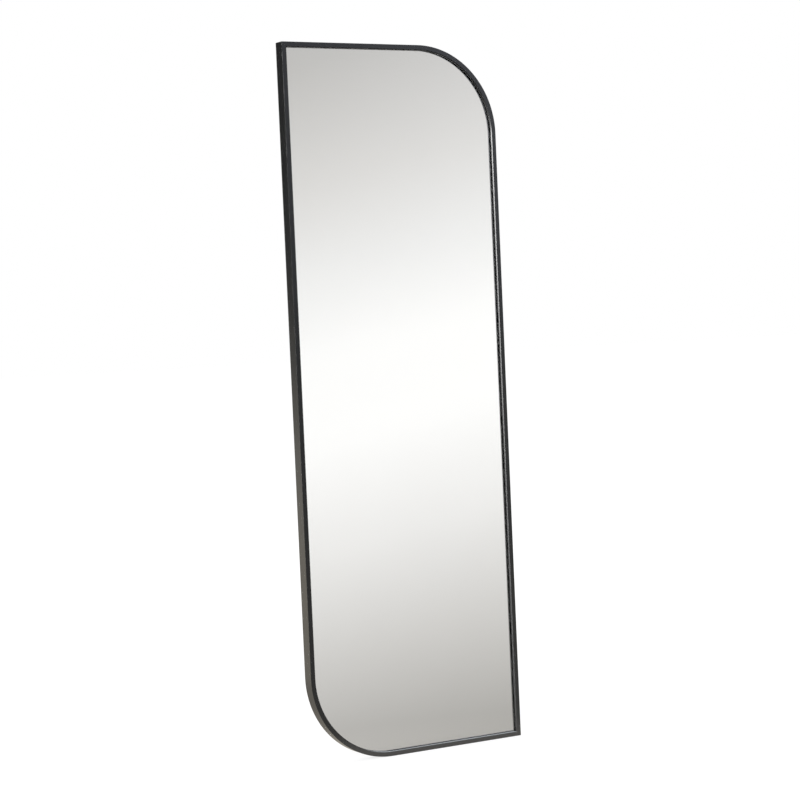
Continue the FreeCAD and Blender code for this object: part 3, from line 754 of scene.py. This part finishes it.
def mix_colour(tree, factor, first, second, blend="MIX"):
    made = add_node(
        tree,
        "ShaderNodeMix",
        {"Factor": factor, MIX_FIRST: first, MIX_SECOND: second},
        data_type="RGBA",
        blend_type=blend,
    )
    return made.outputs[MIX_RESULT]


def mix_shaders(tree, factor, first, second):
    return first_output(tree, "ShaderNodeMixShader", {0: factor, 1: first, 2: second})


def grey(value):
    return (value, value, value)


def opaque(colour):
    """A colour as a socket takes it."""
    return (*colour, 1.0)


def ramp(tree, factor, stops):
    """A colour ramp through (position, colour) stops."""
    made = add_node(tree, "ShaderNodeValToRGB", {"Fac": factor})
    elements = made.color_ramp.elements
    for end in (0, -1):
        elements[end].position = stops[end][0]
        elements[end].color = opaque(stops[end][1])
    for position, colour in stops[1:-1]:
        elements.new(position).color = opaque(colour)
    return made.outputs["Color"]


def object_place(tree):
    """The place on the piece, in metres."""
    return add_node(tree, "ShaderNodeTexCoord").outputs["Object"]


def noise(tree, place, scale, detail=2.0, distortion=0.0):
    made = add_node(
        tree,
        "ShaderNodeTexNoise",
        {"Vector": place, "Scale": scale, "Detail": detail, "Distortion": distortion},
    )
    return made.outputs["Fac"]


def between(tree, factor, low, high):
    """A value that follows a noise from low to high."""
    return rise(tree, factor, (NOISE_LOW, NOISE_HIGH), (low, high))


def tone(tree, factor, dark, light):
    """A colour that follows a noise from dark to light."""
    return ramp(tree, factor, [(NOISE_LOW, dark), (NOISE_HIGH, light)])


# Materials

def new_material(name, **sockets):
    """A material with its node tree and main shader, whose sockets are set by name."""
    material = bpy.data.materials.new(name)
    material.use_nodes = True
    tree = material.node_tree
    shader = tree.nodes["Principled BSDF"]
    for socket, value in sockets.items():
        shader.inputs[socket.replace("_", " ")].default_value = value
    return material, tree, shader


def join(tree, shader, socket, value):
    tree.links.new(value, shader.inputs[socket])


def add_bump(tree, shader, height, strength, distance):
    made = add_node(
        tree, "ShaderNodeBump", {"Height": height, "Strength": strength, "Distance": distance}
    )
    join(tree, shader, "Normal", made.outputs["Normal"])


def satin_black():
    """Black powder coat on aluminium: a fine even texture and a satin gloss."""
    material, tree, shader = new_material("satin_black", Specular_IOR_Level=0.5)
    place = object_place(tree)
    grain = noise(tree, place, scale=900.0, detail=3.0)
    patches = noise(tree, place, scale=14.0)
    join(tree, shader, "Base Color", tone(tree, grain, dark=grey(0.008), light=grey(0.013)))
    join(tree, shader, "Roughness", between(tree, patches, low=0.21, high=0.25))
    add_bump(tree, shader, grain, strength=0.03, distance=0.05 * MM)
    return material


def clear_glass():
    material, _, _ = new_material(
        "clear_glass",
        Base_Color=opaque(grey(1.0)),
        Roughness=0.0,
        IOR=1.52,
        Transmission_Weight=1.0,
    )
    return material


def silver():
    """Silvering behind the glass, with a faint cloudiness."""
    material, tree, shader = new_material("silver", Metallic=1.0, Roughness=0.0)
    clouds = noise(tree, object_place(tree), scale=4.0, detail=3.0)
    tint = tone(tree, clouds, dark=(0.945, 0.945, 0.940), light=(0.955, 0.955, 0.950))
    join(tree, shader, "Base Color", tint)
    return material


def fibres(tree, turn):
    """Short streaks on the board's face, laid at an angle in degrees."""
    length = 2.6 * MM
    width = 0.5 * MM
    laid = add_node(
        tree,
        "ShaderNodeMapping",
        {
            "Vector": object_place(tree),
            "Rotation": (0.0, math.radians(turn), 0.0),
            "Scale": (length, length, width),
        },
        vector_type="TEXTURE",
    )
    return noise(tree, laid.outputs["Vector"], scale=1.0, detail=3.0, distortion=0.25)


def hardboard():
    """Smooth brown hardboard: slightly mottled, pressed from short pale and dark fibres."""
    material, tree, shader = new_material("hardboard", Specular_IOR_Level=0.35)
    place = object_place(tree)
    clouds = noise(tree, place, scale=6.0, detail=4.0, distortion=0.2)
    mottle = noise(tree, place, scale=110.0, detail=4.0)
    spot_stops = [(NOISE_LOW, grey(0.90)), (0.5, grey(1.0)), (NOISE_HIGH, grey(1.08))]
    fleck_stops = [(NOISE_LOW, grey(0.74)), (0.46, grey(1.0)), (NOISE_HIGH, grey(1.16))]
    coloured = tone(tree, clouds, dark=(0.183, 0.107, 0.056), light=(0.206, 0.124, 0.067))
    coloured = mix_colour(tree, 1.0, coloured, ramp(tree, mottle, spot_stops), "MULTIPLY")
    streaks = [fibres(tree, turn) for turn in (8, 67, 128)]
    for streak in streaks:
        coloured = mix_colour(tree, 1.0, coloured, ramp(tree, streak, fleck_stops), "MULTIPLY")
    join(tree, shader, "Base Color", coloured)
    join(tree, shader, "Roughness", between(tree, mottle, low=0.46, high=0.60))
    add_bump(tree, shader, streaks[0], strength=0.2, distance=0.2 * MM)
    return material


def metal(name, dark, light, rough, scale):
    """Bare or plated metal whose tone and polish vary a little."""
    finer = 12
    material, tree, shader = new_material(name, Metallic=1.0)
    place = object_place(tree)
    clouds = noise(tree, place, scale, detail=4.0, distortion=0.3)
    grain = noise(tree, place, scale * finer)
    join(tree, shader, "Base Color", tone(tree, clouds, dark, light))
    join(tree, shader, "Roughness", between(tree, clouds, *rough))
    add_bump(tree, shader, grain, strength=0.08, distance=0.05 * MM)
    return material


def matt(name, dark, light, rough, scale, relief):
    """Rubber, film or foam: an even tone with a fine relief."""
    material, tree, shader = new_material(name)
    grain = noise(tree, object_place(tree), scale, detail=3.0)
    join(tree, shader, "Base Color", tone(tree, grain, dark, light))
    join(tree, shader, "Roughness", between(tree, grain, *rough))
    add_bump(tree, shader, grain, strength=0.3, distance=relief)
    return material


# Studio

# Skies: the height of a direction, from -1, straight down, to 1, straight up, and its light
BRIGHT_BAND = [
    (-1.0, (0.60, 0.60, 0.59)),
    (-0.45, (0.60, 0.60, 0.59)),
    (-0.30, (0.46, 0.45, 0.43)),
    (-0.22, (0.335, 0.325, 0.305)),
    (-0.18, (0.345, 0.335, 0.315)),
    (-0.15, (0.495, 0.485, 0.465)),
    (-0.12, (0.655, 0.645, 0.625)),
    (-0.07, (0.915, 0.91, 0.895)),
    (-0.02, (1.085, 1.085, 1.075)),
    (0.02, (1.08, 1.08, 1.07)),
    (0.06, (0.93, 0.93, 0.92)),
    (0.10, (0.755, 0.745, 0.725)),
    (0.16, (0.53, 0.52, 0.50)),
    (0.25, (0.49, 0.51, 0.54)),
    (1.0, (0.60, 0.60, 0.60)),
]
SOFT_BAND = [
    (-1.0, (0.55, 0.55, 0.54)),
    (-0.55, (0.56, 0.56, 0.55)),
    (-0.38, (0.68, 0.68, 0.67)),
    (-0.20, (0.94, 0.94, 0.93)),
    (-0.08, (1.04, 1.04, 1.03)),
    (0.0, (1.02, 1.02, 1.01)),
    (0.12, (0.78, 0.78, 0.77)),
    (0.25, (0.58, 0.59, 0.60)),
    (1.0, (0.60, 0.60, 0.60)),
]
ROOM_AHEAD = [
    (-1.0, (0.06, 0.06, 0.058)),
    (-0.50, (0.07, 0.07, 0.067)),
    (-0.34, (0.80, 0.78, 0.73)),
    (-0.20, (0.70, 0.68, 0.64)),
    (-0.10, (0.34, 0.34, 0.335)),
    (0.03, (0.41, 0.425, 0.46)),
    (0.11, (1.17, 1.23, 1.38)),
    (0.155, (1.75, 1.84, 2.05)),
    (0.19, (0.05, 0.05, 0.055)),
    (0.58, (0.05, 0.05, 0.055)),
    (0.72, (4.6, 4.9, 5.2)),
    (0.82, (7.4, 7.9, 8.4)),
    (1.0, (7.4, 7.9, 8.4)),
]
ROOM_BEHIND = [
    (-1.0, (0.66, 0.61, 0.53)),
    (-0.40, (0.70, 0.65, 0.56)),
    (-0.22, (0.95, 0.88, 0.76)),
    (-0.12, (1.38, 1.27, 1.06)),
    (-0.06, (1.25, 1.21, 1.11)),
    (-0.02, (0.10, 0.105, 0.11)),
    (0.40, (0.08, 0.085, 0.09)),
    (0.70, grey(1.5)),
    (1.0, grey(5.0)),
]
LEFT_SOFTBOX = [
    (-1.0, grey(0.6)),
    (-0.20, grey(1.6)),
    (-0.06, grey(3.4)),
    (0.04, grey(15.0)),
    (0.12, grey(34.0)),
    (0.35, grey(34.0)),
    (0.45, grey(2.0)),
    (1.0, grey(4.0)),
]

# Ranges along a direction's X or Y over which one sky gives way to another
BAND_LEFT_EDGE = (0.24, 0.38)
BAND_RIGHT_EDGE = (0.72, 0.62)
BAND_CLIMB_OVER = (0.36, 0.62)
BAND_CLIMB = (-0.066, 0.002)
AHEAD_BRIGHTENS_OVER = (0.44, 0.54)
AHEAD_BRIGHTNESS = (0.66, 1.45)
BEHIND_STARTS = (-0.15, 0.15)
SOFTBOX_SIDE = (-0.66, -0.76)
SOFTBOX_BEFORE = (-0.25, -0.35)

# Floor and lamps
FILL_LIGHT = 0.75
FLOOR_REACH = 40.0
FLOOR_SHADE = grey(0.3)
FLOOR_GLOW = 0.83
FLOOR_TO_ROOM = grey(0.8)
POOL_FADES = (0.3, 0.75)
POOL_STARTS = (0.0, -0.04)
POOL_FLATNESS = 2.0
POOL_COLOUR = (1.0, 0.965, 0.91)
POOL_LIGHT = 1.7
KEY_PLACE = (-3.6, -5.6, 2.4)
RIM_PLACE = (3.0, 4.5, 3.0)
LAMP_POWER = 60.0

# Camera, fitted to the outline in the photograph; angles in degrees
CAMERA_PLACE = (-2.489, -4.349, 0.201)
CAMERA_HEADING = -29.81
CAMERA_TILT = 87.702
CAMERA_ROLL = -2.538
CAMERA_LENS = 96.39
CAMERA_SENSOR = 36.0


def background(tree, colour, strength=1.0):
    return first_output(tree, "ShaderNodeBackground", {"Color": colour, "Strength": strength})


def build_world():
    """White to the camera; a studio to glass, paint and metal; an even fill to the rest."""
    world = bpy.data.worlds.new("studio")
    bpy.context.scene.world = world
    world.use_nodes = True
    world.cycles.sampling_method = "NONE"
    tree = world.node_tree
    tree.nodes.clear()
    way = add_node(tree, "ShaderNodeTexCoord").outputs["Generated"]
    axes = add_node(tree, "ShaderNodeSeparateXYZ", {"Vector": way}).outputs
    path = add_node(tree, "ShaderNodeLightPath").outputs
    through_glass = path["Is Transmission Ray"]
    on_paint = studio_on_paint(tree, axes)
    in_glass = studio_in_glass(tree, axes)
    studio = background(tree, mix_colour(tree, through_glass, on_paint, in_glass))
    fill = background(tree, opaque(grey(1.0)), FILL_LIGHT)
    seen = background(tree, opaque(grey(1.0)))
    shiny = calculate(tree, "MAXIMUM", path["Is Glossy Ray"], through_glass)
    lit = mix_shaders(tree, shiny, fill, studio)
    surface = mix_shaders(tree, path["Is Camera Ray"], lit, seen)
    add_node(tree, "ShaderNodeOutputWorld", {"Surface": surface})


def sky(tree, height, stops):
    """Light that changes with the height of a direction."""
    placed = [((z + 1) / 2, colour) for z, colour in stops]
    return ramp(tree, rise(tree, height, (-1.0, 1.0)), placed)


def studio_in_glass(tree, axes):
    """What the glass shows: to the right a bright band that climbs a little, elsewhere a softer one."""
    climb = rise(tree, axes["X"], BAND_CLIMB_OVER, BAND_CLIMB)
    bright = sky(tree, calculate(tree, "SUBTRACT", axes["Z"], climb), BRIGHT_BAND)
    soft = sky(tree, axes["Z"], SOFT_BAND)
    from_left = rise(tree, axes["X"], BAND_LEFT_EDGE)
    from_right = rise(tree, axes["X"], BAND_RIGHT_EDGE)
    return mix_colour(tree, calculate(tree, "MULTIPLY", from_left, from_right), soft, bright)


def studio_on_paint(tree, axes):
    """What paint and metal show: strips of light ahead, a lit floor behind and a softbox far left."""
    sideways = rise(tree, axes["X"], AHEAD_BRIGHTENS_OVER, AHEAD_BRIGHTNESS)
    ahead = first_output(
        tree,
        "ShaderNodeVectorMath",
        {0: sky(tree, axes["Z"], ROOM_AHEAD), "Scale": sideways},
        operation="SCALE",
    )
    behind = rise(tree, axes["Y"], BEHIND_STARTS)
    room = mix_colour(tree, behind, ahead, sky(tree, axes["Z"], ROOM_BEHIND))
    left = rise(tree, axes["X"], SOFTBOX_SIDE)
    before = rise(tree, axes["Y"], SOFTBOX_BEFORE)
    spot = calculate(tree, "MULTIPLY", left, before)
    return mix_colour(tree, spot, room, sky(tree, axes["Z"], LEFT_SOFTBOX))


def floor_pool(tree):
    """How far a place lies in the lit pool before the mirror, which is wide and not deep."""
    place = add_node(tree, "ShaderNodeNewGeometry").outputs["Position"]
    axes = add_node(tree, "ShaderNodeSeparateXYZ", {"Vector": place}).outputs
    deeper = calculate(tree, "MULTIPLY", axes["Y"], POOL_FLATNESS)
    flat = first_output(tree, "ShaderNodeCombineXYZ", {"X": axes["X"], "Y": deeper})
    away = add_node(tree, "ShaderNodeVectorMath", {0: flat}, operation="LENGTH").outputs["Value"]
    near = rise(tree, away, POOL_FADES, (1.0, 0.0))
    before = rise(tree, axes["Y"], POOL_STARTS)
    return calculate(tree, "MULTIPLY", near, before)


def pale_floor():
    """White with a soft shadow to the camera, to paint clear apart from a lit pool, else pale."""
    material = bpy.data.materials.new("pale_floor")
    material.use_nodes = True
    tree = material.node_tree
    tree.nodes.clear()
    path = add_node(tree, "ShaderNodeLightPath").outputs
    clear = first_output(tree, "ShaderNodeBsdfTransparent")
    glint = first_output(
        tree, "ShaderNodeEmission", {"Color": opaque(POOL_COLOUR), "Strength": POOL_LIGHT}
    )
    to_paint = mix_shaders(tree, floor_pool(tree), clear, glint)
    to_room = first_output(tree, "ShaderNodeBsdfDiffuse", {"Color": opaque(FLOOR_TO_ROOM)})
    shade = first_output(tree, "ShaderNodeBsdfDiffuse", {"Color": opaque(FLOOR_SHADE)})
    glow = first_output(
        tree, "ShaderNodeEmission", {"Color": opaque(grey(1.0)), "Strength": FLOOR_GLOW}
    )
    to_camera = first_output(tree, "ShaderNodeAddShader", {0: shade, 1: glow})
    to_rays = mix_shaders(tree, path["Is Glossy Ray"], to_room, to_paint)
    surface = mix_shaders(tree, path["Is Camera Ray"], to_rays, to_camera)
    add_node(tree, "ShaderNodeOutputMaterial", {"Surface": surface})
    return material


def build_floor():
    """A floor under the mirror, which the glass doesn't show."""
    ways = ((-1, -1), (1, -1), (1, 1), (-1, 1))
    corners = [(FLOOR_REACH * x, FLOOR_REACH * y, cad_low.z) for x, y in ways]
    mesh = bpy.data.meshes.new("floor")
    mesh.from_pydata(corners, [], [(0, 1, 2, 3)])
    mesh.materials.append(pale_floor())
    floor = link_object("floor", mesh)
    floor.visible_transmission = False


def add_softbox(name, place, width, height):
    """A lamp that is aimed at the mirror's middle and isn't seen itself."""
    lamp = bpy.data.lights.new(name, "AREA")
    lamp.shape = "RECTANGLE"
    lamp.size = width
    lamp.size_y = height
    lamp.energy = LAMP_POWER
    box = bpy.data.objects.new(name, lamp)
    box.location = place
    box.rotation_euler = (-Vector(place)).to_track_quat("-Z", "Y").to_euler()
    box.visible_camera = False
    box.visible_glossy = False
    bpy.context.scene.collection.objects.link(box)


def build_camera():
    view = bpy.data.cameras.new("camera")
    view.lens = CAMERA_LENS
    view.sensor_width = CAMERA_SENSOR
    camera = bpy.data.objects.new("camera", view)
    heading = Matrix.Rotation(math.radians(CAMERA_HEADING), 4, "Z")
    tilt = Matrix.Rotation(math.radians(CAMERA_TILT), 4, "X")
    roll = Matrix.Rotation(math.radians(CAMERA_ROLL), 4, "Z")
    camera.matrix_world = Matrix.Translation(CAMERA_PLACE) @ heading @ tilt @ roll
    bpy.context.scene.collection.objects.link(camera)
    bpy.context.scene.camera = camera


# Finishes

paint = satin_black()
silvering = silver()
zinc = metal(
    "zinc_plate", dark=(0.52, 0.54, 0.57), light=(0.66, 0.67, 0.68), rough=(0.26, 0.40), scale=150.0
)
blued = metal(
    "blued_steel", dark=(0.085, 0.095, 0.125), light=(0.17, 0.165, 0.17), rough=(0.26, 0.38), scale=60.0
)
nickel = metal(
    "nickel_wire", dark=(0.60, 0.57, 0.52), light=(0.70, 0.67, 0.62), rough=(0.14, 0.24), scale=300.0
)
screw_zinc = metal(
    "screw_zinc", dark=(0.46, 0.48, 0.52), light=(0.62, 0.63, 0.65), rough=(0.24, 0.36), scale=400.0
)
rubber = matt(
    "rubber", dark=grey(0.010), light=grey(0.020), rough=(0.60, 0.76), scale=700.0, relief=0.1 * MM
)
film = matt(
    "film",
    dark=(0.40, 0.42, 0.43),
    light=(0.50, 0.52, 0.53),
    rough=(0.32, 0.45),
    scale=300.0,
    relief=0.05 * MM,
)
foam = matt(
    "foam",
    dark=(0.70, 0.70, 0.67),
    light=(0.82, 0.82, 0.79),
    rough=(0.70, 0.85),
    scale=900.0,
    relief=0.2 * MM,
)
finishes = {
    "black_rubber": rubber,
    "safety_film": film,
    "foam_tape": foam,
    "backing_board": hardboard(),
    "spring_steel": blued,
    "zinc_steel": zinc,
    "ring_steel": nickel,
    "screw_steel": screw_zinc,
    "black_frame": paint,
    "silvered_glass": silvering,
}
for row in frame["record"]["subparts"]:
    node_materials = frame["nodes"][row["node"]].data.materials
    node_materials.clear()
    node_materials.append(finishes[row["material_slot"]])

# Pieces

build_rail("upper_frame_rail", 1, paint)
build_rail("lower_frame_rail", -1, paint)
build_pane(clear_glass(), silvering)
for name, side in (("left", -1), ("right", 1)):
    build_hanger_ring(name, side, nickel)
    build_hanger_plate(name, side, zinc)
build_hanger_screws(screw_zinc)
build_corner_screws("top_left", 1, screw_zinc)
build_corner_screws("bottom_right", -1, screw_zinc)
build_clips(blued)

# Stage

build_world()
build_floor()
add_softbox("key", KEY_PLACE, width=2.5, height=1.6)
add_softbox("rim", RIM_PLACE, width=2.5, height=2.0)
build_camera()
bpy.context.scene.view_settings.view_transform = "Standard"
